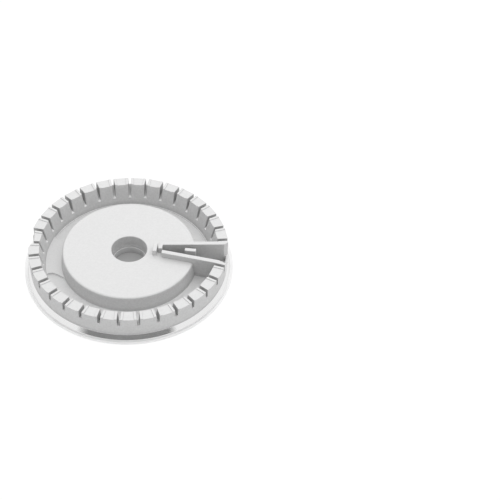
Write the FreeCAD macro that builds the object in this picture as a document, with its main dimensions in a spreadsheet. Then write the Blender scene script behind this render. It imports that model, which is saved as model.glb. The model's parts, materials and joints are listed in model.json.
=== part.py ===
import FreeCAD, Part
import os
import Sketcher

# Gas burner crown: one aluminium die casting that sits on a hob's burner cup and spreads the flame.
# Frame: millimetres, +Z up along the mixing bore, +X out along the ignition trough, and the origin in
# the middle of the flange's underside, which is the face that the crown rests on.

doc = FreeCAD.newDocument("burner_crown")

# Driving sizes
SIZES = [
    ("flange_radius", 48.15, "outer edge of the flange"),
    ("flange_rim", 1.35, "height of the flange at its edge"),
    ("flange_bevel", 0.3, "bevel on the flange's upper edge"),
    ("rest_width", 6.0, "width of the flat rim that the crown rests on"),
    ("relief_depth", 0.6, "how far the underside is set back inside that rim"),
    ("ring_radius", 45.5, "outer face of the toothed ring"),
    ("ring_height", 13.65, "top of the teeth above the base"),
    ("ring_width", 4.8, "toothed ring from outside to inside, at its top"),
    ("ring_draft", 1.7, "how far the ring's inner wall leans in by its foot"),
    ("wall_bevel", 0.7, "bevel where that wall meets the channel floor"),
    ("turned_height", 4.85, "where the lathe cut on the ring's outer face stops"),
    ("turned_depth", 0.15, "depth of that lathe cut"),
    ("band_height", 3.5, "top of the bright turned cone above the flange"),
    ("band_flare", 0.9, "how far the cone's foot stands out from the ring"),
    ("floor_height", 2.95, "floor of the gas channel above the base"),
    ("pad_height", 0.6, "raised pad on that floor, across from the trough"),
    ("pad_back", 9.4, "the same pad behind the axis"),
    ("pad_front", 13.6, "the same pad in front of the axis, at the channel's middle"),
    ("pad_skew", 14.0, "lean of the pad's front edge, in degrees"),
    ("plateau_radius", 30.4, "upper edge of the plateau"),
    ("plateau_height", 10.55, "top of the plateau above the base"),
    ("plateau_draft", 1.0, "how far the plateau's side leans out by its foot"),
    ("plateau_round", 0.9, "round on the plateau's upper edge"),
    ("foot_bevel", 0.5, "bevel where the plateau meets the channel floor"),
    ("bore_radius", 8.15, "mixing bore"),
    ("bore_depth", 6.7, "depth of the bore down to its ledge"),
    ("bore_bevel", 0.3, "bevel on the bore's upper edge"),
    ("throat_radius", 7.45, "narrower throat below that ledge"),
    ("tube_wall", 2.6, "wall of the mixing tube on the underside"),
    ("skirt_wall", 2.5, "wall between the plateau's side and the hollow below it"),
    ("roof_wall", 2.4, "thickness of the plateau above that hollow"),
    ("hollow_draft", 0.8, "how far the hollow opens out towards the base"),
    ("pitch_count", 33, "tooth pitches round the ring, one of them taken by the trough"),
    ("slot_width", 1.45, "flame slot at the tooth tops"),
    ("slot_draft", 1.6, "lean of each slot wall, in degrees"),
    ("slot_depth", 4.0, "slot at the ring's outer face"),
    ("slot_drop", 2.3, "how much deeper the slot is at the ring's inner edge"),
    ("landing", 0.2, "where a slot's floor turns steeper, inside the ring's upper inner edge"),
    ("landing_lean", 32.0, "lean of the floor from there on, in degrees"),
    ("lip_width", 1.1, "raised lip beside each slot, on the tooth tops"),
    ("lip_height", 0.35, "height of that lip"),
    ("notch_angle", 184.3, "place of the locating notch, in degrees from the trough"),
    ("notch_depth", 2.25, "notch at its deepest"),
    ("notch_long_side", 7.55, "longer flank of the notch, along the ring"),
    ("notch_end_depth", 1.6, "notch at the end of that flank"),
    ("notch_short_side", 4.2, "shorter flank of the notch, along the ring"),
    ("notch_draft", 7.0, "lean of the notch's flanks, in degrees"),
    ("trough_start", 15.3, "inner end of the trough, from the axis"),
    ("trough_end_half", 1.55, "half the trough's width at its inner end"),
    ("trough_spread", 7.4, "lean of each trough wall from the axis, in degrees"),
    ("trough_wall", 2.1, "thickness of the trough's walls"),
    ("sill_height", 5.85, "sill where the trough leaves through the ring"),
    ("sill_wall", 1.15, "thickness of that sill"),
    ("mouth_flare", 1.9, "bevel on the trough's walls at the mouth"),
    ("peg_start", 25.6, "inner end of the peg in the trough"),
    ("peg_length", 5.2, "length of that peg"),
    ("peg_width", 1.85, "width of that peg"),
    ("stop_length", 1.8, "block that closes the trough's inner end"),
    ("stop_reach", 0.9, "how far that block reaches past the axis"),
    ("baffle_gap", 0.6, "gap between the baffle and the block"),
    ("baffle_width", 1.9, "thickness of the baffle"),
    ("baffle_reach", 2.8, "baffle in front of the gas inlet"),
    ("baffle_back", 2.4, "baffle behind the axis"),
    ("bridge_margin", 0.4, "metal kept between the hollow and the trough's inner end"),
]

# Named tolerance for finding an edge, and the overrun of a cut past the face that it opens
EDGE_MATCH = 0.001
OVERRUN = 1.0

sheet = doc.addObject("Spreadsheet::Sheet", "sizes")
for row, (alias, size, note) in enumerate(SIZES, start=1):
    sheet.set(f"A{row}", note)
    sheet.set(f"B{row}", str(size))
    sheet.setAlias(f"B{row}", alias)
doc.recompute()

body = doc.addObject("PartDesign::Body", "burner_crown")
body.Label = "burner_crown"


def value(expression):
    """Works out an expression of the sheet's sizes as a plain number."""
    result = sheet.evalExpression(expression)
    return float(getattr(result, "Value", result))


def origin(role):
    """Finds one of the body's own origin planes or axes."""
    return next(item for item in body.Origin.OriginFeatures if item.Role == role)


def new_sketch(name, role, lift="0"):
    """Starts a sketch on an origin plane, raised along the plane's normal."""
    sketch = body.newObject("Sketcher::SketchObject", name)
    sketch.AttachmentSupport = [(origin(role), "")]
    sketch.MapMode = "FlatFace"
    sketch.setExpression(".AttachmentOffset.Base.z", lift)
    return sketch


def turn_sketch(sketch, axis, angle):
    """Turns a sketch about an axis of its plane, by an expression in degrees."""
    sketch.AttachmentOffset = FreeCAD.Placement(
        sketch.AttachmentOffset.Base, FreeCAD.Rotation(axis, value(angle)))
    sketch.setExpression(".AttachmentOffset.Rotation.Angle", angle)


def outline(sketch, corners):
    """Draws a closed outline in straight lines; each corner is a pair of expressions."""
    first = sketch.GeometryCount
    places = [FreeCAD.Vector(value(x), value(y), 0) for x, y in corners]
    for here, there in zip(places, places[1:] + places[:1]):
        sketch.addGeometry(Part.LineSegment(here, there), False)
    for step in range(len(corners)):
        following = first + (step + 1) % len(corners)
        sketch.addConstraint(Sketcher.Constraint("Coincident", first + step, 2, following, 1))
    for step, (corner, place) in enumerate(zip(corners, places)):
        for kind, expression, start in zip(("DistanceX", "DistanceY"), corner, place):
            number = sketch.addConstraint(Sketcher.Constraint(kind, -1, 1, first + step, 1, start))
            sketch.setExpression(f"Constraints[{number}]", expression)


def raise_pad(name, sketch, length):
    """Adds metal above a sketch."""
    feature = body.newObject("PartDesign::Pad", name)
    feature.Profile = sketch
    feature.setExpression("Length", length)
    return feature


def cut_pocket(name, sketch, length, both_ways=False):
    """Takes metal away below a sketch, or to both sides of it."""
    feature = body.newObject("PartDesign::Pocket", name)
    feature.Profile = sketch
    feature.Midplane = both_ways
    feature.setExpression("Length", length)
    return feature


def ring_edges(base, radius, height):
    """Names the full circular edge that has this radius and height."""
    doc.recompute()
    names = []
    for number, edge in enumerate(base.Shape.Edges, start=1):
        curve = edge.Curve
        if not isinstance(curve, Part.Circle):
            continue
        if abs(curve.Radius - value(radius)) < EDGE_MATCH and abs(curve.Center.z - value(height)) < EDGE_MATCH:
            names.append(f"Edge{number}")
    return names


def round_ring(name, base, radius, height, size):
    """Rounds a circular edge."""
    names = ring_edges(base, radius, height)
    feature = body.newObject("PartDesign::Fillet", name)
    feature.Base = (base, names)
    feature.setExpression("Radius", size)
    return feature


def bevel_ring(name, base, radius, height, size):
    """Bevels a circular edge."""
    names = ring_edges(base, radius, height)
    feature = body.newObject("PartDesign::Chamfer", name)
    feature.Base = (base, names)
    feature.setExpression("Size", size)
    return feature


def repeat_round(name, features, count):
    """Repeats features round the bore's axis, one tooth pitch apart."""
    doc.recompute()
    feature = body.newObject("PartDesign::PolarPattern", name)
    feature.Originals = features
    feature.Axis = (origin("Z_Axis"), [""])
    feature.setExpression("Angle", f"({count} - 1) * {PITCH}")
    feature.setExpression("Occurrences", count)
    body.Tip = feature
    return feature


# Expressions that several features share
PITCH = "360 / sizes.pitch_count"
RING_INNER = "sizes.ring_radius - sizes.ring_width"
WALL_FOOT = f"{RING_INNER} - sizes.ring_draft"
BORE_LEDGE = "sizes.plateau_height - sizes.bore_depth"
ABOVE_RING = f"sizes.ring_height + {OVERRUN}"

# The turned form: flange, ring, channel, plateau and stepped bore
profile = new_sketch("crown_profile", "XZ_Plane")
outline(profile, [
    ("sizes.throat_radius", "sizes.relief_depth"),
    ("sizes.flange_radius - sizes.rest_width", "sizes.relief_depth"),
    ("sizes.flange_radius - sizes.rest_width", "0"),
    ("sizes.flange_radius", "0"),
    ("sizes.flange_radius", "sizes.flange_rim"),
    ("sizes.ring_radius + sizes.band_flare", "sizes.flange_rim"),
    ("sizes.ring_radius - sizes.turned_depth", "sizes.band_height"),
    ("sizes.ring_radius - sizes.turned_depth", "sizes.turned_height"),
    ("sizes.ring_radius", "sizes.turned_height"),
    ("sizes.ring_radius", "sizes.ring_height"),
    (RING_INNER, "sizes.ring_height"),
    (WALL_FOOT, "sizes.floor_height"),
    ("sizes.plateau_radius + sizes.plateau_draft", "sizes.floor_height"),
    ("sizes.plateau_radius", "sizes.plateau_height"),
    ("sizes.bore_radius", "sizes.plateau_height"),
    ("sizes.bore_radius", BORE_LEDGE),
    ("sizes.throat_radius", BORE_LEDGE),
])
crown = body.newObject("PartDesign::Revolution", "turned_form")
crown.Profile = profile
crown.ReferenceAxis = (profile, ["V_Axis"])
crown.Angle = 360

# Soft edges of the turned form
soft = round_ring("plateau_edge", crown, "sizes.plateau_radius", "sizes.plateau_height", "sizes.plateau_round")
soft = bevel_ring("bore_edge", soft, "sizes.bore_radius", "sizes.plateau_height", "sizes.bore_bevel")
soft = bevel_ring("plateau_foot", soft, "sizes.plateau_radius + sizes.plateau_draft", "sizes.floor_height",
                  "sizes.foot_bevel")
soft = bevel_ring("wall_foot", soft, WALL_FOOT, "sizes.floor_height", "sizes.wall_bevel")
soft = bevel_ring("flange_edge", soft, "sizes.flange_radius", "sizes.flange_rim", "sizes.flange_bevel")

# Raised pad on the channel floor, across from the trough
pad_plan = new_sketch("pad_plan", "XY_Plane", "sizes.floor_height")
PAD_OUT = f"-({WALL_FOOT} + sizes.ring_radius) / 2"
PAD_IN = "-(sizes.plateau_radius - sizes.skirt_wall)"
PAD_MIDDLE = f"-({WALL_FOOT} + sizes.plateau_radius) / 2"


def pad_front(x):
    """Front edge of the pad at a distance along X."""
    return f"-(sizes.pad_front + ({x} - ({PAD_MIDDLE})) * tan(sizes.pad_skew))"


outline(pad_plan, [
    (PAD_OUT, pad_front(PAD_OUT)),
    (PAD_IN, pad_front(PAD_IN)),
    (PAD_IN, "sizes.pad_back"),
    (PAD_OUT, "sizes.pad_back"),
])
raise_pad("channel_pad", pad_plan, "sizes.pad_height")

# Hollow of the underside, drafted, stopped short of the trough on both sides
hollow_profile = new_sketch("hollow_profile", "XZ_Plane")
TUBE_OUTER = "sizes.throat_radius + sizes.tube_wall"
SKIRT_INNER = "sizes.plateau_radius - sizes.skirt_wall"
ROOF = "sizes.plateau_height - sizes.roof_wall"
outline(hollow_profile, [
    (f"-({TUBE_OUTER})", f"-{OVERRUN}"),
    (f"-({TUBE_OUTER} + sizes.hollow_draft)", ROOF),
    (f"-({SKIRT_INNER})", ROOF),
    (f"-({SKIRT_INNER} + sizes.hollow_draft)", f"-{OVERRUN}"),
])
BRIDGE_HALF = "sizes.trough_end_half + sizes.trough_wall + sizes.bridge_margin"
hollow = body.newObject("PartDesign::Groove", "underside_hollow")
hollow.Profile = hollow_profile
hollow.ReferenceAxis = (hollow_profile, ["V_Axis"])
hollow.Midplane = True
hollow.setExpression("Angle", f"360 deg - 2 * asin(({BRIDGE_HALF}) / sizes.trough_start)")

# Trough walls, the block at their inner end and the baffle before the gas inlet
SPREAD = "tan(sizes.trough_spread)"
STOP_START = "sizes.trough_start - sizes.stop_length"
BAFFLE_END = f"{STOP_START} - sizes.baffle_gap"


def trough_half(x):
    """Half the trough's inner width at a distance from the axis."""
    return f"sizes.trough_end_half + ({x} - sizes.trough_start) * {SPREAD}"


def wall_outside(x):
    """Outer side of a trough wall at a distance from the axis."""
    return f"{trough_half(x)} + sizes.trough_wall / cos(sizes.trough_spread)"


WALL_END = f"{RING_INNER} + sizes.ring_width / 2"
walls_plan = new_sketch("trough_walls_plan", "XY_Plane", "sizes.floor_height")
outline(walls_plan, [
    (STOP_START, "-sizes.stop_reach"),
    ("sizes.trough_start", "-sizes.stop_reach"),
    ("sizes.trough_start", trough_half("sizes.trough_start")),
    (WALL_END, trough_half(WALL_END)),
    (WALL_END, wall_outside(WALL_END)),
    (STOP_START, wall_outside(STOP_START)),
])
outline(walls_plan, [
    ("sizes.trough_start", f"-({wall_outside('sizes.trough_start')})"),
    (WALL_END, f"-({wall_outside(WALL_END)})"),
    (WALL_END, f"-({trough_half(WALL_END)})"),
    ("sizes.trough_start", f"-({trough_half('sizes.trough_start')})"),
])
outline(walls_plan, [
    (f"{BAFFLE_END} - sizes.baffle_width", "-sizes.baffle_reach"),
    (BAFFLE_END, "-sizes.baffle_reach"),
    (BAFFLE_END, "sizes.baffle_back"),
    (f"{BAFFLE_END} - sizes.baffle_width", "sizes.baffle_back"),
])
raise_pad("trough_walls", walls_plan, "sizes.ring_height - sizes.floor_height")

# Trough between the walls, down to the level of the channel floor and out to the sill
SILL_START = "sizes.ring_radius - sizes.sill_wall"
trough_plan = new_sketch("trough_plan", "XY_Plane", "sizes.ring_height")
outline(trough_plan, [
    ("sizes.trough_start", f"-({trough_half('sizes.trough_start')})"),
    (SILL_START, f"-({trough_half(SILL_START)})"),
    (SILL_START, trough_half(SILL_START)),
    ("sizes.trough_start", trough_half("sizes.trough_start")),
])
cut_pocket("trough", trough_plan, "sizes.ring_height - sizes.floor_height")

# Mouth through the ring, down to the sill, with bevelled corners
FLARE_START = "sizes.ring_radius - sizes.mouth_flare"
MOUTH_END = f"sizes.flange_radius + {OVERRUN}"
MOUTH_HALF = f"{trough_half(FLARE_START)} + {MOUTH_END} - ({FLARE_START})"
mouth_plan = new_sketch("mouth_plan", "XY_Plane", "sizes.ring_height")
outline(mouth_plan, [
    (WALL_FOOT, f"-({trough_half(WALL_FOOT)})"),
    (FLARE_START, f"-({trough_half(FLARE_START)})"),
    (MOUTH_END, f"-({MOUTH_HALF})"),
    (MOUTH_END, MOUTH_HALF),
    (FLARE_START, trough_half(FLARE_START)),
    (WALL_FOOT, trough_half(WALL_FOOT)),
])
cut_pocket("trough_mouth", mouth_plan, "sizes.ring_height - sizes.sill_height")

# Peg that stands in the trough
peg_plan = new_sketch("peg_plan", "XY_Plane", "sizes.floor_height")
outline(peg_plan, [
    ("sizes.peg_start", "-sizes.peg_width / 2"),
    ("sizes.peg_start + sizes.peg_length", "-sizes.peg_width / 2"),
    ("sizes.peg_start + sizes.peg_length", "sizes.peg_width / 2"),
    ("sizes.peg_start", "sizes.peg_width / 2"),
])
raise_pad("peg", peg_plan, "sizes.ring_height - sizes.floor_height")

# Locating notch in the ring's outer face, down to the turned cone
notch_plan = new_sketch("notch_plan", "XY_Plane", "sizes.ring_height")
turn_sketch(notch_plan, FreeCAD.Vector(0, 0, 1), "sizes.notch_angle")
NOTCH_OUT = f"sizes.flange_radius + {OVERRUN}"
outline(notch_plan, [
    ("sizes.ring_radius - sizes.notch_depth", "0"),
    ("sizes.ring_radius - sizes.notch_end_depth", "-sizes.notch_long_side"),
    (NOTCH_OUT, "-sizes.notch_long_side"),
    (NOTCH_OUT, "sizes.notch_short_side"),
    ("sqrt(sizes.ring_radius ^ 2 - sizes.notch_short_side ^ 2)", "sizes.notch_short_side"),
])
notch = cut_pocket("locating_notch", notch_plan, "sizes.ring_height - sizes.band_height")
notch.setExpression("TaperAngle", "-sizes.notch_draft")

# Shallow recess in a tooth's top, which leaves a lip beside each slot
tooth_plan = new_sketch("tooth_plan", "XY_Plane", "sizes.ring_height")
turn_sketch(tooth_plan, FreeCAD.Vector(0, 0, 1), f"1.5 * {PITCH}")
LIP_EDGE = "(sizes.slot_width / 2 + sizes.lip_width)"
HALF_PITCH = f"({PITCH} / 2)"


def lip_corner(reach):
    """Corner of the recess, level with a point on the slot's middle line."""
    along = f"({reach}) * cos({HALF_PITCH}) + {LIP_EDGE} * sin({HALF_PITCH})"
    across = f"({reach}) * sin({HALF_PITCH}) - {LIP_EDGE} * cos({HALF_PITCH})"
    return along, across


inner_x, inner_y = lip_corner(f"{RING_INNER} - {OVERRUN}")
outer_x, outer_y = lip_corner(f"sizes.ring_radius + {OVERRUN}")
outline(tooth_plan, [
    (inner_x, f"-({inner_y})"),
    (outer_x, f"-({outer_y})"),
    (outer_x, outer_y),
    (inner_x, inner_y),
])
recess = cut_pocket("tooth_recess", tooth_plan, "sizes.lip_height")
repeat_round("tooth_recesses", [recess], "sizes.pitch_count - 2")

# Flame slot: drafted walls and a floor that falls inwards, lofted from outside the ring to inside it
SLOT_FALL = "sizes.slot_drop / sizes.ring_width"
SLOT_LEAN = "tan(sizes.slot_draft)"


def slot_floor(reach):
    """Height of the slot's floor at a distance from the axis."""
    return f"(sizes.ring_height - sizes.slot_depth - (sizes.ring_radius - ({reach})) * {SLOT_FALL})"


def slot_section(name, reach):
    """Cross-section of the slot at a distance from the axis."""
    section = new_sketch(name, "YZ_Plane", f"({reach}) * cos({PITCH})")
    section.setExpression(".AttachmentOffset.Base.x", f"({reach}) * sin({PITCH})")
    turn_sketch(section, FreeCAD.Vector(0, 1, 0), PITCH)
    top_half = f"(sizes.slot_width / 2 + {OVERRUN} * {SLOT_LEAN})"
    foot_half = f"(sizes.slot_width / 2 - (sizes.ring_height - {slot_floor(reach)}) * {SLOT_LEAN})"
    outline(section, [
        (f"-{foot_half}", slot_floor(reach)),
        (foot_half, slot_floor(reach)),
        (top_half, ABOVE_RING),
        (f"-{top_half}", ABOVE_RING),
    ])
    return section


outer_section = slot_section("slot_outer_section", f"sizes.ring_radius + {OVERRUN}")
inner_section = slot_section("slot_inner_section", f"{WALL_FOOT} - {OVERRUN}")
slot = body.newObject("PartDesign::SubtractiveLoft", "flame_slot")
slot.Profile = outer_section
slot.Sections = [inner_section]
slot.Ruled = True

# Steeper landing where the slot's floor meets the inner wall
LANDING_TOP = f"{RING_INNER} - sizes.landing"
LANDING_END = f"{WALL_FOOT} - {OVERRUN}"
landing_side = new_sketch("landing_side", "XZ_Plane")
turn_sketch(landing_side, FreeCAD.Vector(0, 1, 0), PITCH)
outline(landing_side, [
    (LANDING_TOP, slot_floor(LANDING_TOP)),
    (LANDING_END, f"{slot_floor(LANDING_TOP)} - ({LANDING_TOP} - ({LANDING_END})) * tan(sizes.landing_lean)"),
    (LANDING_END, slot_floor(LANDING_TOP)),
])
landing = cut_pocket("slot_landing", landing_side, "sizes.slot_width - 2 * sizes.slot_depth * " + SLOT_LEAN,
                     both_ways=True)
repeat_round("flame_slots", [slot, landing], "sizes.pitch_count - 1")

doc.recompute()

# Every object must have built, and the casting must be one whole solid
for item in doc.Objects:
    if "Invalid" in item.State or "Error" in item.State:
        raise RuntimeError(f"{item.Name} did not build")
casting = body.Shape
if casting.isNull() or not casting.isValid():
    raise RuntimeError("the casting is not a valid shape")
if len(casting.Solids) != 1:
    raise RuntimeError("the casting is not one solid")

os.makedirs("parts", exist_ok=True)
casting.exportStep(f"parts/{body.Label}.step")
print(f"{body.Label}: {casting.Volume / 1000:.2f} cm3, {len(casting.Faces)} faces")
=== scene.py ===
# %% [markdown]
# A gas burner crown is the cast ring that stands under the lid of a hob's burner. Gas and air rise
# through the bore in its middle, spread under the lid and leave through the slots between the teeth,
# where the flame stands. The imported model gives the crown's place and size, and this lesson makes the
# casting again with the soft edges that a foundry leaves, so the frame is loaded first and is left as it
# is.

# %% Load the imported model
import json
import math

import bmesh
import bpy
from mathutils import Matrix, Vector


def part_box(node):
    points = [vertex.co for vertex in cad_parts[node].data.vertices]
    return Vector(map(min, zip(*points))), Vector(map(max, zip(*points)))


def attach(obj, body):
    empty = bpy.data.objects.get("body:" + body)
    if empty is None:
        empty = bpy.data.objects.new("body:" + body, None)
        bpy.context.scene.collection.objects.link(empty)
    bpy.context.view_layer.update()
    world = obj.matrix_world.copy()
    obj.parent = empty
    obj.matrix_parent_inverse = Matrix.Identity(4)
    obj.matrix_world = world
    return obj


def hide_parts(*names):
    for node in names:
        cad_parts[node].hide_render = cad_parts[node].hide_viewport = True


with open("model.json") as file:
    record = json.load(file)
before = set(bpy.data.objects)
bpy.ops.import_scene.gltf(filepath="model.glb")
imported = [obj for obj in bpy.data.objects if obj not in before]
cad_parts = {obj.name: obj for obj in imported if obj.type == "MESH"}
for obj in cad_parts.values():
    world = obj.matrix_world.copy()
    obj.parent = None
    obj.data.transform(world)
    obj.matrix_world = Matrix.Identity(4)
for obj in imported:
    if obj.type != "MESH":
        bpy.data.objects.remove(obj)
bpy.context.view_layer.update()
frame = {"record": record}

low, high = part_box("burner_crown")
mounts = {mount["name"]: mount for mount in frame["record"]["mounts"]}
print("packed crown, in mm:", [round((b - a) * 1000, 2) for a, b in zip(low, high)])

# %% [markdown]
# The sizes of the crown, in millimetres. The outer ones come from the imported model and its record, so
# they can't drift from it. The others are the designer's own: the ring with its teeth, the channel
# between ring and plateau, the bore, and the hollow below. Two helpers close the list: how far a cutting
# tool stands clear of the metal, and a hair's breadth that keeps two faces from lying in one plane.
# Everything is drawn in millimetres and brought to metres at the end, which keeps the numbers readable.

# %% Sizes
MM = 0.001
flange_radius = (high.y - low.y) / 2 / MM
ring_top = high.z / MM
throat_radius = mounts["mixing_throat"]["dims"]["r_mm"]
flange_rim = 1.35
rest_width = 6.0
relief_depth = 0.6
ring_radius = 45.5
ring_inner = 40.7
wall_foot = 38.35
ledge_edge = 37.95
ledge_foot = 37.85
ledge_height = 2.95
turned_height = 4.85
turned_radius = 45.35
band_height = 3.5
band_foot = 46.75
floor_height = 2.65
pad_top = 3.55
plateau_radius = 30.4
plateau_foot = 31.4
plateau_height = 10.55
bore_radius = 8.15
bore_ledge = 3.85
bore_cone = 1.5
bore_line = 0.28
tube_foot = 10.19
tube_top = 10.85
skirt_foot = 28.56
skirt_top = 27.9
roof_height = 8.15
pitch_count = 33
pitch = 2 * math.pi / pitch_count
steps_per_pitch = 12
above = 1.0
hair = 0.01
print("flange", round(flange_radius, 2), "ring top", round(ring_top, 2), "throat", throat_radius)

# %% [markdown]
# The finishes. A die casting is blasted with fine shot, which leaves a matt, slightly grainy light grey.
# Steep walls get a darker copy of it, a painted shade, which deepens towards their foot as more painted
# shade. The trough's walls get a darker painted shade again, and the narrow slots and the gas inlet the
# darkest painted shade. Three finishes are bare metal: the landings of the slots, lightened as a painted
# highlight, the satin flange, and the cone above it, which a lathe has turned bright with fine rings. All
# are made from noise and waves on the object's own coordinates. They come first, because each tool leaves
# its finish.

# %% Materials
pattern_range = (0.3, 0.7)
# Height below which steep walls get a painted shade that deepens towards the channel floor.
foot_shade_end = 5.2
skin_cloud_scale = 1100.0
skin_cloud_detail = 4.0
skin_grain_scale = 2600.0
skin_grain_detail = 2.0
skin_grain_strength = 0.25
skin_grain_height = 0.00005
skin_roughness = (0.52, 0.62)
skin_metallic = 0.1
ring_scale = 900.0
ring_wobble = 0.6
ring_strength = 0.05
ring_height = 0.00001
polish_scale = 400.0
polish_detail = 2.0


def new_material(name):
    """Starts a material and hands back its nodes, links, shader and the object's coordinates."""
    material = bpy.data.materials.new(name)
    material.use_nodes = True
    nodes = material.node_tree.nodes
    coordinates = nodes.new("ShaderNodeTexCoord").outputs["Object"]
    return material, nodes, material.node_tree.links, nodes["Principled BSDF"], coordinates


def noise(nodes, links, coordinates, scale, detail):
    """Adds a noise pattern on the object's coordinates."""
    pattern = nodes.new("ShaderNodeTexNoise")
    pattern.inputs["Scale"].default_value = scale
    pattern.inputs["Detail"].default_value = detail
    links.new(coordinates, pattern.inputs["Vector"])
    return pattern.outputs["Fac"]


def map_range(nodes, links, value, before, after):
    """Maps a value from one range onto another."""
    step = nodes.new("ShaderNodeMapRange")
    for label, limit in zip(("From Min", "From Max", "To Min", "To Max"), before + after):
        step.inputs[label].default_value = limit
    links.new(value, step.inputs["Value"])
    return step.outputs["Result"]


def combine(nodes, links, operation, first, second):
    """Joins two values, such as to their product or to the larger of them."""
    step = nodes.new("ShaderNodeMath")
    step.operation = operation
    links.new(first, step.inputs[0])
    links.new(second, step.inputs[1])
    return step.outputs["Value"]


def separate(nodes, links, coordinates, axis):
    """Takes one axis of the object's coordinates."""
    parts = nodes.new("ShaderNodeSeparateXYZ")
    links.new(coordinates, parts.inputs["Vector"])
    return parts.outputs[axis]


def grey(nodes, links, value):
    """Turns a value into a neutral colour."""
    colour = nodes.new("ShaderNodeCombineColor")
    for channel in ("Red", "Green", "Blue"):
        links.new(value, colour.inputs[channel])
    return colour.outputs["Color"]


def bump(nodes, links, height, shader, strength, distance):
    """Raises a pattern from the surface."""
    relief = nodes.new("ShaderNodeBump")
    relief.inputs["Strength"].default_value = strength
    relief.inputs["Distance"].default_value = distance
    links.new(height, relief.inputs["Height"])
    links.new(relief.outputs["Normal"], shader.inputs["Normal"])


def paint_foot_shade(nodes, links, coordinates, tone, share):
    """Paints shade: lets a tone fall to a share of itself towards the channel floor."""
    height = separate(nodes, links, coordinates, "Z")
    rise = map_range(nodes, links, height, (floor_height * MM, foot_shade_end * MM), (share, 1.0))
    return combine(nodes, links, "MULTIPLY", tone, rise)


def casting_skin(name, tones, foot_shade_share=1.0):
    """Makes a matt grainy skin of the casting between two tones, with a painted shade towards its foot when
    the share at the foot is below one.
    """
    skin, nodes, links, shader, coordinates = new_material(name)
    cloud = noise(nodes, links, coordinates, skin_cloud_scale, skin_cloud_detail)
    grain = noise(nodes, links, coordinates, skin_grain_scale, skin_grain_detail)
    tone = map_range(nodes, links, cloud, pattern_range, tones)
    if foot_shade_share < 1.0:
        tone = paint_foot_shade(nodes, links, coordinates, tone, foot_shade_share)
    links.new(grey(nodes, links, tone), shader.inputs["Base Color"])
    links.new(map_range(nodes, links, grain, pattern_range, skin_roughness), shader.inputs["Roughness"])
    bump(nodes, links, grain, shader, skin_grain_strength, skin_grain_height)
    shader.inputs["Metallic"].default_value = skin_metallic
    return skin


def bare_metal(name, cloud_scale, cloud_detail, tones, roughness, metallic):
    """Makes bare metal that is slightly cloudy in its tone and polish."""
    metal, nodes, links, shader, coordinates = new_material(name)
    cloud = noise(nodes, links, coordinates, cloud_scale, cloud_detail)
    tone = map_range(nodes, links, cloud, pattern_range, tones)
    links.new(grey(nodes, links, tone), shader.inputs["Base Color"])
    links.new(map_range(nodes, links, cloud, pattern_range, roughness), shader.inputs["Roughness"])
    shader.inputs["Metallic"].default_value = metallic
    return metal


def turned_metal(name, tones, roughness):
    """Makes bright metal with the fine rings that a lathe leaves."""
    metal, nodes, links, shader, coordinates = new_material(name)
    rings = nodes.new("ShaderNodeTexWave")
    rings.wave_type = "RINGS"
    rings.rings_direction = "Z"
    rings.inputs["Scale"].default_value = ring_scale
    rings.inputs["Distortion"].default_value = ring_wobble
    links.new(coordinates, rings.inputs["Vector"])
    groove = rings.outputs["Fac"]
    polish = noise(nodes, links, coordinates, polish_scale, polish_detail)
    tone = map_range(nodes, links, groove, pattern_range, tones)
    links.new(grey(nodes, links, tone), shader.inputs["Base Color"])
    links.new(map_range(nodes, links, polish, pattern_range, roughness), shader.inputs["Roughness"])
    bump(nodes, links, groove, shader, ring_strength, ring_height)
    shader.inputs["Metallic"].default_value = 1.0
    return metal


blasted = casting_skin("blasted_casting", tones=(0.73, 0.77))
# Steep faces: a darker copy of the blasted skin, a painted shade, deeper towards the foot.
steep_shade = casting_skin("painted_steep_shade", tones=(0.59, 0.67), foot_shade_share=0.78)
# The trough's walls: a darker copy again, a painted shade.
trough_shade = casting_skin("painted_trough_shade", tones=(0.52, 0.59), foot_shade_share=0.78)
# The slots and the gas inlet: the darkest copy, a painted shade.
recess_shade = casting_skin("painted_recess_shade", tones=(0.46, 0.51))
# The slot landings: a light tone, a painted highlight.
landing_highlight = bare_metal("painted_landing_highlight", cloud_scale=300.0, cloud_detail=3.0, tones=(0.88, 0.92),
                     roughness=(0.35, 0.45), metallic=0.0)
satin = bare_metal("satin_metal", cloud_scale=200.0, cloud_detail=2.0, tones=(0.91, 0.95),
                   roughness=(0.40, 0.50), metallic=0.5)
turned = turned_metal("turned_metal", tones=(0.8, 0.84), roughness=(0.07, 0.09))
finishes = [blasted, turned, satin, recess_shade, landing_highlight, steep_shade, trough_shade]
print("finishes:", [finish.name for finish in finishes])

# %% [markdown]
# Helpers for the work that comes again and again: a block raised from a plan, rounded edges, and joining
# or cutting the casting with a shaped tool, as a machinist would think of it. Molten metal doesn't fill
# sharp corners, so a block that stands up from the casting gets small rounds.

# %% Helpers
edge_segments = 3


def plan_block(corners, bottom, top):
    """Raises a block from a plan of a few corners."""
    bm = bmesh.new()
    plan = bm.faces.new([bm.verts.new((x, y, bottom)) for x, y in corners])
    raised = bmesh.ops.extrude_face_region(bm, geom=[plan])["geom"]
    upper = [item for item in raised if isinstance(item, bmesh.types.BMVert)]
    bmesh.ops.translate(bm, verts=upper, vec=(0, 0, top - bottom))
    bmesh.ops.recalc_face_normals(bm, faces=bm.faces)
    return bm


def round_edges(bm, edges, size):
    """Rounds some edges of a block."""
    bmesh.ops.bevel(bm, geom=edges, offset=size, offset_type="OFFSET", segments=edge_segments, profile=0.5,
                    affect="EDGES", clamp_overlap=True, material=-1)


def middle(edge):
    """Middle of an edge."""
    return (edge.verts[0].co + edge.verts[1].co) / 2


def turn_about_axis(bm, angle):
    """Turns a whole tool about the bore's axis."""
    bmesh.ops.rotate(bm, verts=bm.verts, cent=(0, 0, 0), matrix=Matrix.Rotation(angle, 3, "Z"))


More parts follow.
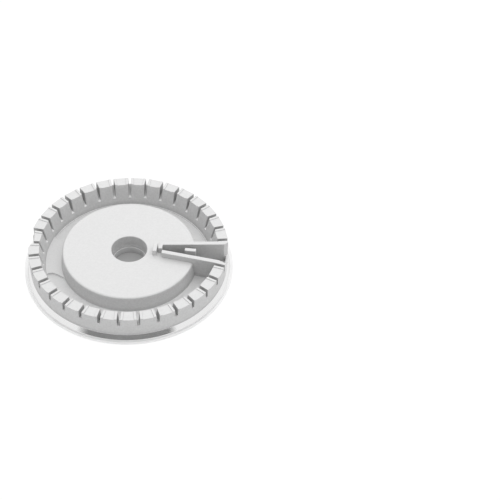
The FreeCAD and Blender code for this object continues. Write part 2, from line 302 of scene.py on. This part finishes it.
def add_object(bm, name, materials):
    """Turns a bmesh into an object at the origin."""
    mesh = bpy.data.meshes.new(name)
    for material in materials:
        mesh.materials.append(material)
    bm.to_mesh(mesh)
    bm.free()
    piece = bpy.data.objects.new(name, mesh)
    bpy.context.scene.collection.objects.link(piece)
    return piece


def work(piece, bm, operation):
    """Joins a shaped tool to the casting, or cuts the casting with it."""
    tool = add_object(bm, "tool", finishes)
    step = piece.modifiers.new("step", "BOOLEAN")
    step.operation = operation
    step.solver = "EXACT"
    step.object = tool
    shaped = piece.evaluated_get(bpy.context.evaluated_depsgraph_get())
    result = bpy.data.meshes.new_from_object(shaped)
    piece.modifiers.remove(step)
    old = piece.data
    piece.data = result
    bpy.data.meshes.remove(old)
    bpy.data.meshes.remove(tool.data)
    print(operation.lower(), "gives", len(result.polygons), "faces")


print("helpers ready")

# %% [markdown]
# The turned form. On the real crown the flange, ring, channel, plateau and bore are all round, so half of
# the cross-section is drawn once, its corners are rounded, and the line is spun about the bore's axis.
# Each corner is given by its radius, its height and the size of its round. The steps of the spin are a
# multiple of the tooth count, so every tooth gets the same facets.

# %% Turned form
corner_segments = 5
seam_gap = 0.001
profile = [
    (throat_radius, relief_depth, 0.25),
    (tube_foot, relief_depth, 0.4),
    (tube_top, roof_height, 0.8),
    (skirt_top, roof_height, 0.8),
    (skirt_foot, relief_depth, 0.4),
    (flange_radius - rest_width, relief_depth, 0.2),
    (flange_radius - rest_width, 0.0, 0.2),
    (flange_radius, 0.0, 0.2),
    (flange_radius, flange_rim, 0.35),
    (band_foot, flange_rim, 0.12),
    (turned_radius, band_height, 0.15),
    (turned_radius, turned_height, 0.0),
    (ring_radius, turned_height, 0.06),
    (ring_radius, ring_top, 0.3),
    (ring_inner, ring_top, 0.3),
    (wall_foot, ledge_height, 0.1),
    (ledge_edge, ledge_height, 0.1),
    (ledge_foot, floor_height, 0.1),
    (plateau_foot, floor_height, 0.7),
    (plateau_radius, plateau_height, 0.9),
    (bore_radius, plateau_height, 0.4),
    (bore_radius, bore_ledge + bore_cone, 0.3),
    (throat_radius + bore_line, bore_ledge, 0.0),
    (throat_radius, bore_ledge, 0.08),
]
bm = bmesh.new()
bm.faces.new([bm.verts.new((radius, 0, height)) for radius, height, rounding in profile])
for radius, height, rounding in profile:
    drawn = Vector((radius, 0, height))
    corner = min(bm.verts, key=lambda vert: (vert.co - drawn).length)
    if rounding:
        bmesh.ops.bevel(bm, geom=[corner], offset=rounding, offset_type="OFFSET", segments=corner_segments,
                        profile=0.5, affect="VERTICES", clamp_overlap=True, material=-1)
bmesh.ops.delete(bm, geom=bm.faces[:], context="FACES_ONLY")
bmesh.ops.spin(bm, geom=bm.verts[:] + bm.edges[:], cent=(0, 0, 0), axis=(0, 0, 1), angle=2 * math.pi,
               steps=pitch_count * steps_per_pitch, use_merge=True)
bmesh.ops.remove_doubles(bm, verts=bm.verts, dist=seam_gap)
bmesh.ops.recalc_face_normals(bm, faces=bm.faces)
crown = add_object(bm, "crown_casting", finishes)
print("turned form:", len(crown.data.polygons), "faces")

# %% [markdown]
# The teeth. Each flame slot leans a little open so that the casting leaves its mould, its floor falls
# inwards, and its inner mouth is widely rounded where the gas enters. One slot tool is shaped from a
# cube: planes cut stations into it, and the stations are then widened or narrowed. A second, shallow tool
# sinks the middle of a tooth's top, which leaves a raised lip along each slot for the lid to lie on.

# %% Slot and recess tools
slot_half = 0.725
slot_draft = math.radians(1.6)
slot_lean = math.tan(slot_draft)
slot_depth = 4.0
slot_drop = 2.3
slot_run = 4.8
slot_fall = slot_drop / slot_run
top_round = 0.2
inner_round = 0.45
outer_round = 0.2
landing_start = 40.0
landing_angle = math.radians(32.0)
landing_fall = math.tan(landing_angle) - slot_fall
mouth_fade = 0.04
mouth_least = 0.3
inner_end = 37.6
outer_end = ring_radius + above
facing_down = -0.5
mouth_shares = (0.0, 0.08, 0.3, 0.6, 1.0)
outer_shares = (0.0, 0.3, 1.0)
top_shares = (0.0, 0.08, 0.3, 1.0)


def wall_radius(height):
    """Radius of the ring's inner wall at a height."""
    share = (height - ledge_height) / (ring_top - ledge_height)
    return wall_foot + share * (ring_inner - wall_foot)


def flare(depth, size):
    """How far a rounded edge stands back at a depth behind the face that it opens in."""
    if depth >= size:
        return 0.0
    return size - math.sqrt(size ** 2 - (size - max(depth, 0.0)) ** 2)


def slot_floor(reach):
    """Height of the slot's floor at a distance from the axis, with its bevelled landing."""
    height = ring_top - slot_depth - (ring_radius - reach) * slot_fall
    return height - max(landing_start - reach, 0.0) * landing_fall


slot_tool = bmesh.new()
bmesh.ops.create_cube(slot_tool, size=1.0)
for vert in slot_tool.verts:
    vert.co.x = outer_end if vert.co.x > 0 else inner_end
    vert.co.z = ring_top + above if vert.co.z > 0 else slot_floor(vert.co.x)
wall_normal = Vector((ring_top - ledge_height, 0, wall_foot - ring_inner)).normalized()
stations = [((ring_inner + inner_round * share, 0, ring_top), wall_normal) for share in mouth_shares]
stations += [((ring_radius - outer_round * share, 0, 0), (1, 0, 0)) for share in outer_shares]
stations += [((landing_start, 0, 0), (1, 0, 0))]
stations += [((0, 0, ring_top - top_round * share), (0, 0, 1)) for share in top_shares]
for point, normal in stations:
    bmesh.ops.bisect_plane(slot_tool, geom=slot_tool.verts[:] + slot_tool.edges[:] + slot_tool.faces[:],
                           plane_co=point, plane_no=normal)
slot_tool.normal_update()
floor_verts = {vert for face in slot_tool.faces if face.normal.z < facing_down for vert in face.verts}
for vert in floor_verts:
    vert.co.z = slot_floor(vert.co.x)
for vert in slot_tool.verts:
    depth = max(ring_top - vert.co.z, 0.0)
    half = slot_half - depth * slot_lean + flare(ring_top - vert.co.z, top_round)
    opening = flare(vert.co.x - wall_radius(min(vert.co.z, ring_top)), inner_round)
    half += opening * max(1 - depth * mouth_fade, mouth_least)
    half += flare(ring_radius - vert.co.x, outer_round)
    vert.co.y = math.copysign(half, vert.co.y)
# The deep side walls of each slot get a painted shade.
for face in slot_tool.faces:
    spot = face.calc_center_median()
    behind_mouth = spot.x - wall_radius(min(spot.z, ring_top)) > inner_round
    behind_face = ring_radius - spot.x > outer_round
    below_top = ring_top - spot.z > top_round
    if behind_mouth and behind_face and below_top and face.normal.z > facing_down:
        face.material_index = finishes.index(recess_shade)
    # The slot's floor at the landing gets a painted highlight.
    if face.normal.z < facing_down and spot.x < landing_start:
        face.material_index = finishes.index(landing_highlight)
print("slot tool:", len(slot_tool.faces), "faces")

lip_edge = slot_half + 1.1
lip_height = 0.35
riser = 0.15
recess_tool = bmesh.new()
bmesh.ops.create_cube(recess_tool, size=1.0)
for vert in recess_tool.verts:
    reach = outer_end if vert.co.x > 0 else ring_inner - above
    lift = lip_height if vert.co.z > 0 else -lip_height
    spread = riser if vert.co.z > 0 else -riser
    along = reach * math.cos(pitch / 2) + lip_edge * math.sin(pitch / 2)
    across = reach * math.sin(pitch / 2) - lip_edge * math.cos(pitch / 2) + spread
    vert.co = (along, math.copysign(across, vert.co.y), ring_top + lift)
print("recess tool:", len(recess_tool.faces), "faces")

# %% [markdown]
# Both tools are repeated round the ring, one tooth pitch apart, and cut the ring in one go each. One
# pitch of the ring is taken by the trough, so there is one slot less than there are pitches, and the two
# teeth beside the trough keep their plain tops.


# %% Cut the teeth
def cut_round(tool, first_pitch, count):
    """Repeats a tool round the ring, from a first pitch on, and cuts the ring with all of them."""
    turn_about_axis(tool, first_pitch * pitch)
    bmesh.ops.spin(tool, geom=tool.verts[:] + tool.edges[:] + tool.faces[:], cent=(0, 0, 0), axis=(0, 0, 1),
                   angle=(count - 1) * pitch, steps=count - 1, use_duplicate=True)
    bmesh.ops.recalc_face_normals(tool, faces=tool.faces)
    work(crown, tool, "DIFFERENCE")


cut_round(recess_tool, first_pitch=1.5, count=pitch_count - 2)
cut_round(slot_tool, first_pitch=1, count=pitch_count - 1)

# %% [markdown]
# The locating notch. A peg of the burner cup stands in it and keeps the crown from turning. Its two
# flanks are flats of different length, cut down to the bright turned cone. They lean, because the die has
# to leave the casting, so the notch is drawn as a plan at the top and its floor is set in.

# %% Locating notch
notch_angle = math.radians(184.3)
notch_depth = 2.25
notch_long_side = 7.55
notch_end_depth = 1.6
notch_short_side = 4.2
notch_draft = math.radians(7.0)
notch_out = ring_radius + 3.0
notch_lift = 0.1
notch = bmesh.new()
notch_plan = [(ring_radius - notch_depth, 0.0),
              (ring_radius - notch_end_depth, -notch_long_side),
              (notch_out, -notch_long_side),
              (notch_out, notch_short_side),
              (math.sqrt(ring_radius ** 2 - notch_short_side ** 2), notch_short_side)]
plan = notch.faces.new([notch.verts.new((x, y, ring_top + notch_lift)) for x, y in notch_plan])
plan.normal_update()
notch_drop = ring_top + notch_lift - band_height
bmesh.ops.inset_region(notch, faces=[plan], use_boundary=True, use_even_offset=True,
                       thickness=notch_drop * math.tan(notch_draft), depth=-notch_drop * plan.normal.z)
bmesh.ops.holes_fill(notch, edges=[edge for edge in notch.edges if edge.is_boundary])
bmesh.ops.recalc_face_normals(notch, faces=notch.faces)
turn_about_axis(notch, notch_angle)
print("notch floor and top:", sorted({round(vert.co.z, 2) for vert in notch.verts}))
work(crown, notch, "DIFFERENCE")

# %% [markdown]
# The ignition trough. A spark beside the ring lights the gas that runs out through this trough. Its two
# walls lean apart, the back one turns the corner at its inner end, and a baffle stands a little way
# before the inlet. Below it the casting's hollow is filled up, so the trough has a floor. First the
# ground is prepared: the web below is joined, the space between the walls' middle lines is cleared down
# to the channel floor, and the mouth is cut through the ring down to the sill.

# %% Ground of the ignition trough
trough_start = 15.3
trough_end_half = 1.55
trough_lean = math.radians(7.4)
trough_wall = 2.1
sill_height = 5.85
sill_start = 44.35
edge_round = 0.3
flare_start = 43.4
bend_start = 41.8
bend_slope = 0.55
space_wide = trough_start + 0.6
web_half = 4.05
web_near = 9.0
web_far = 30.0
web_lift = 0.02
web_angle = math.asin(web_half / trough_start)
mouth_end = flange_radius + above


def trough_half(x):
    """Half the trough's width at a distance from the axis."""
    return trough_end_half + (x - trough_start) * math.tan(trough_lean)


def wall_outside(x):
    """Outer side of a trough wall at a distance from the axis."""
    return trough_half(x) + trough_wall / math.cos(trough_lean)


def wall_middle(x):
    """Middle line of a trough wall at a distance from the axis."""
    return (trough_half(x) + wall_outside(x)) / 2


def bend(x):
    """Inner side of the front wall where it bends outwards at the mouth."""
    return trough_half(bend_start) + (x - bend_start) * bend_slope


def mirrored(corners):
    """Closes a plan across the trough's middle line."""
    return corners + [(x, -y) for x, y in reversed(corners)]


web = plan_block(mirrored([(web_near * math.cos(web_angle), web_near * math.sin(web_angle)),
                           (web_far * math.cos(web_angle), web_far * math.sin(web_angle))]),
                 relief_depth + web_lift, roof_height + above)
work(crown, web, "UNION")
space = plan_block(mirrored([(trough_start - hair, trough_end_half),
                             (space_wide, wall_middle(space_wide)),
                             (flare_start - above, wall_middle(flare_start - above)),
                             (flare_start, trough_half(flare_start)),
                             (sill_start, trough_half(sill_start))]), floor_height, ring_top + above)
work(crown, space, "DIFFERENCE")
mouth = plan_block([(flare_start - above, trough_half(flare_start - above) - edge_round),
                    (flare_start, trough_half(flare_start)),
                    (mouth_end, trough_half(flare_start) + mouth_end - flare_start),
                    (mouth_end, -bend(mouth_end)),
                    (bend_start, -trough_half(bend_start)),
                    (bend_start - above, edge_round - trough_half(bend_start - above))],
                   sill_height, ring_top + above)
work(crown, mouth, "DIFFERENCE")

# %% [markdown]
# The walls of the trough, the baffle and the peg that splits the flow are cast in one with the plateau.
# They stand as high as the teeth, so the lid closes them too, and their edges are rounded up to the
# mouth. The pad on the far side of the channel is low and keeps its edge. The feet of all of them reach
# into the metal below, and their tops stay a hair lower than drawn, so that no two faces meet in one
# plane.

# %% Walls, baffle, peg and pad
wall_top = ring_top - hair
wall_root = 1.6
joint_gap = 0.1
block_start = 13.5
hook_end = -0.9
baffle_end = 12.9
baffle_start = baffle_end - 1.9
baffle_front = -2.8
baffle_back = 2.4
peg_start = 25.6
peg_end = 30.8
peg_half = 0.925
back_wall = [(block_start, hook_end), (trough_start, hook_end), (trough_start, trough_end_half),
             (flare_start, trough_half(flare_start)), (flare_start, wall_outside(flare_start)),
             (block_start, wall_outside(block_start))]
front_wall = [(trough_start, -wall_outside(trough_start)), (flare_start, -wall_outside(flare_start)),
              (flare_start, -bend(flare_start)), (bend_start, -trough_half(bend_start)),
              (trough_start, -trough_end_half)]
baffle = [(baffle_start, baffle_front), (baffle_end, baffle_front), (baffle_end, baffle_back),
          (baffle_start, baffle_back)]
peg = [(peg_start, -peg_half), (peg_end, -peg_half), (peg_end, peg_half), (peg_start, peg_half)]
for corners in (back_wall, front_wall, baffle, peg):
    block = plan_block(corners, wall_root, wall_top)
    free = [edge for edge in block.edges if middle(edge).x < flare_start - joint_gap]
    round_edges(block, free, edge_round)
    work(crown, block, "UNION")

pad_root = floor_height - 0.5
pad_plan = [(-39.0, -14.7), (-36.0, -14.7), (-35.75, -13.9), (-35.3, -13.1), (-34.5, -12.7),
            (-33.2, -12.65), (-31.4, -13.1), (-28.4, -14.65), (-26.3, -15.9), (-29.6, -3.0),
            (-29.4, 9.4), (-32.5, 9.2), (-35.2, 8.75), (-36.2, 9.1), (-36.95, 10.0), (-37.3, 11.2),
            (-39.0, 11.2)]
work(crown, plan_block(pad_plan, pad_root, pad_top - hair), "UNION")

# %% [markdown]
# The finished casting is brought to metres and shaded smooth, with its real corners kept sharp. It then
# takes the place of the imported solid: it rides on the same body and keeps its form.

# %% Finish the casting
weld_gap = 1e-6
sharp_angle = math.radians(32)
bm = bmesh.new()
bm.from_mesh(crown.data)
bmesh.ops.scale(bm, vec=(MM, MM, MM), verts=bm.verts)
bmesh.ops.remove_doubles(bm, verts=bm.verts, dist=weld_gap)
bmesh.ops.dissolve_degenerate(bm, edges=bm.edges, dist=weld_gap)
open_edges = sum(1 for edge in bm.edges if len(edge.link_faces) != 2)
bm.to_mesh(crown.data)
bm.free()
crown.data.shade_smooth()
crown.data.set_sharp_from_angle(angle=sharp_angle)
even = crown.modifiers.new("even_shading", "WEIGHTED_NORMAL")
even.keep_sharp = True
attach(crown, "root")
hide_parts("burner_crown")
print("casting:", len(crown.data.polygons), "faces,", open_edges, "open edges")

# %% [markdown]
# The finishes are now sorted by place and slope. A lathe has taken the skin off the flange, the cone
# above it and the flat that the crown rests on, so these faces get bare metal. Blasted faces that stand
# steeply get a darker copy, a painted shade, and the trough's walls a darker painted shade, apart from
# the inlet at their inner end, which gets the darkest painted shade. The throat and the pad stay blasted.

# %% Finishes by place
lathe_inside = 45.2
cone_lift = 0.05
steep = 0.6


def beside_trough(along, across):
    """Tells whether a place lies on the trough's walls or between them."""
    return block_start - hair < along < sill_start and across < wall_outside(along) + hair


def finish_by_place(polygon):
    """Finds the finish of a face from its place and slope."""
    centre = polygon.center
    reach = math.hypot(centre.x, centre.y)
    if centre.z < relief_depth * MM / 2:
        return satin
    if reach > lathe_inside * MM and centre.z < band_height * MM:
        return turned if centre.z > (flange_rim + cone_lift) * MM else satin
    finish = finishes[polygon.material_index]
    in_throat = reach < (throat_radius + bore_line) * MM and centre.z < bore_ledge * MM
    in_channel = plateau_foot * MM < reach < ledge_foot * MM and centre.z > floor_height * MM
    on_pad = in_channel and centre.x < 0
    if finish is not blasted or polygon.normal.z >= steep or in_throat or on_pad:
        return finish
    along = centre.x / MM
    # Steep blasted faces get the darker copy, a painted shade.
    if abs(polygon.normal.z) >= steep or not beside_trough(along, abs(centre.y) / MM):
        return steep_shade
    # The inlet gets the darkest painted shade, the trough's walls a darker one.
    return recess_shade if along < trough_start else trough_shade


counts = {finish.name: 0 for finish in finishes}
for polygon in crown.data.polygons:
    chosen = finish_by_place(polygon)
    polygon.material_index = finishes.index(chosen)
    counts[chosen.name] += 1
print("faces of each finish:", counts)

# %% [markdown]
# The surround. It is a weak even light, as in a catalogue picture. To the camera and in mirrors it shows
# as plain white, so the background can be pale while the matt casting keeps its tones.

# %% Surround
dome_strength = 0.68
scene = bpy.context.scene
scene.view_settings.view_transform = "Standard"
world = bpy.data.worlds.new("surround")
scene.world = world
world.use_nodes = True


def background_rays(nodes, links):
    """Tells whether a ray comes from the camera, a mirror or a glass."""
    path = nodes.new("ShaderNodeLightPath")
    total = path.outputs["Is Camera Ray"]
    for other in ("Is Glossy Ray", "Is Transmission Ray"):
        total = combine(nodes, links, "MAXIMUM", total, path.outputs[other])
    return total


nodes = world.node_tree.nodes
links = world.node_tree.links
strength = map_range(nodes, links, background_rays(nodes, links), (0.0, 1.0), (dome_strength, 1.0))
links.new(strength, nodes["Background"].inputs["Strength"])
nodes["Background"].inputs["Color"].default_value = (1, 1, 1, 1)
print("surround", dome_strength)

# %% [markdown]
# The floor. It is white to the camera and in mirrors, and it still takes a faint shadow, because a part
# of it is an ordinary matt surface. Under the crown only a small share of the white glow stays, a faint
# painted light on the shadowed ground, and the colour turns greyer, a painted shade, so the ground seen
# through the bore isn't a bright hole.

# %% Floor
floor_half = 1.5
matt = 0.9
paper_strength = 1.04
paper_shares = (0.16, 0.92)
ground_shade_tones = (0.27, 0.9)
floor_material, nodes, links, shader, coordinates = new_material("pale_floor")
shader.inputs["Roughness"].default_value = matt
paper = nodes.new("ShaderNodeEmission")
paper.inputs["Strength"].default_value = paper_strength
distance = nodes.new("ShaderNodeVectorMath")
distance.operation = "LENGTH"
links.new(coordinates, distance.inputs[0])
from_axis = distance.outputs["Value"]
# Under the crown only a small share of the white glow stays, a faint painted light on the shadowed ground.
beside = map_range(nodes, links, from_axis, (plateau_radius * MM, ring_radius * MM), paper_shares)
# Under the crown the floor's colour is painted greyer, a painted shade.
ground_shade = map_range(nodes, links, from_axis, (bore_radius * MM, plateau_radius * MM), ground_shade_tones)
links.new(grey(nodes, links, ground_shade), shader.inputs["Base Color"])
blend = nodes.new("ShaderNodeMixShader")
links.new(combine(nodes, links, "MULTIPLY", background_rays(nodes, links), beside), blend.inputs["Fac"])
links.new(shader.outputs["BSDF"], blend.inputs[1])
links.new(paper.outputs["Emission"], blend.inputs[2])
links.new(blend.outputs["Shader"], nodes["Material Output"].inputs["Surface"])
bm = bmesh.new()
bmesh.ops.create_grid(bm, x_segments=1, y_segments=1, size=floor_half)
floor = add_object(bm, "floor", [floor_material])
print("floor", 2 * floor_half, "m wide")

# %% [markdown]
# The lamp and the card. A wide soft lamp hangs overhead and a little behind, and isn't mirrored itself. A
# grey card stands low in front, out of the camera's sight, because a bright turned cone needs something
# dark to mirror before it looks like metal. The card fades at its two ends, so the dark strip on the cone
# does too.

# %% Lamp and card
lamp_width = 2.0
lamp_depth = 1.2
lamp_power = 6.6
lamp_place = (0.1, 0.32, 0.8)
lamp_data = bpy.data.lights.new("overhead_lamp", "AREA")
lamp_data.shape = "RECTANGLE"
lamp_data.size = lamp_width
lamp_data.size_y = lamp_depth
lamp_data.energy = lamp_power
lamp = bpy.data.objects.new("overhead_lamp", lamp_data)
lamp.location = lamp_place
lamp.rotation_euler = lamp.location.to_track_quat("Z", "Y").to_euler()
lamp.visible_glossy = False
scene.collection.objects.link(lamp)

card_distance = 0.3
card_width = 0.642
card_aside = 0.054
card_fade = 0.09
card_height = 0.12
card_tone = 0.265
unit_half = 0.5
upright = Matrix.Rotation(math.radians(90), 3, "X")
card_material, nodes, links, shader, coordinates = new_material("dark_card")
shader.inputs["Base Color"].default_value = (card_tone, card_tone, card_tone, 1)
shader.inputs["Roughness"].default_value = matt
away = nodes.new("ShaderNodeMath")
away.operation = "SUBTRACT"
away.inputs[1].default_value = card_aside
links.new(separate(nodes, links, coordinates, "X"), away.inputs[0])
off_middle = nodes.new("ShaderNodeMath")
off_middle.operation = "ABSOLUTE"
links.new(away.outputs["Value"], off_middle.inputs[0])
fade_range = (card_width / 2 - card_fade, card_width / 2)
fade = map_range(nodes, links, off_middle.outputs["Value"], fade_range, (1.0, 0.0))
links.new(fade, shader.inputs["Alpha"])
bm = bmesh.new()
bmesh.ops.create_grid(bm, x_segments=1, y_segments=1, size=unit_half)
bmesh.ops.scale(bm, vec=(card_width, card_height, 1), verts=bm.verts)
bmesh.ops.rotate(bm, verts=bm.verts, cent=(0, 0, 0), matrix=upright)
bmesh.ops.translate(bm, verts=bm.verts, vec=(card_aside, -card_distance, card_height / 2))
card = add_object(bm, "dark_card", [card_material])
card.visible_camera = False
card.visible_diffuse = False
card.visible_shadow = False
print("lamp", lamp_power, "W, card", card_width, "m wide")

# %% [markdown]
# The camera looks down at about 46 degrees from in front, a touch turned and rolled, from half a metre
# away. These are the values that bring the crown's circles, teeth and trough onto their places in the
# photograph.

# %% Camera
camera_yaw = math.radians(0.767)
camera_tilt = math.radians(45.665)
camera_roll = math.radians(4.514)
camera_aside = 55.37 * MM
camera_rise = -2.72 * MM
camera_distance = 480.35 * MM
focal_ratio = 2.09734
camera_data = bpy.data.cameras.new("camera")
camera_data.sensor_width = 36.0
camera_data.lens = focal_ratio * camera_data.sensor_width
camera = bpy.data.objects.new("camera", camera_data)
turn = (Matrix.Rotation(camera_yaw, 3, "Z") @ Matrix.Rotation(math.pi / 2 - camera_tilt, 3, "X")
        @ Matrix.Rotation(camera_roll, 3, "Z"))
offset = turn @ Vector((camera_aside, camera_rise, camera_distance))
camera.matrix_world = Matrix.Translation(Vector((0, 0, ring_top * MM)) + offset) @ turn.to_4x4()
scene.collection.objects.link(camera)
scene.camera = camera
print("camera at", [round(v, 4) for v in camera.location])
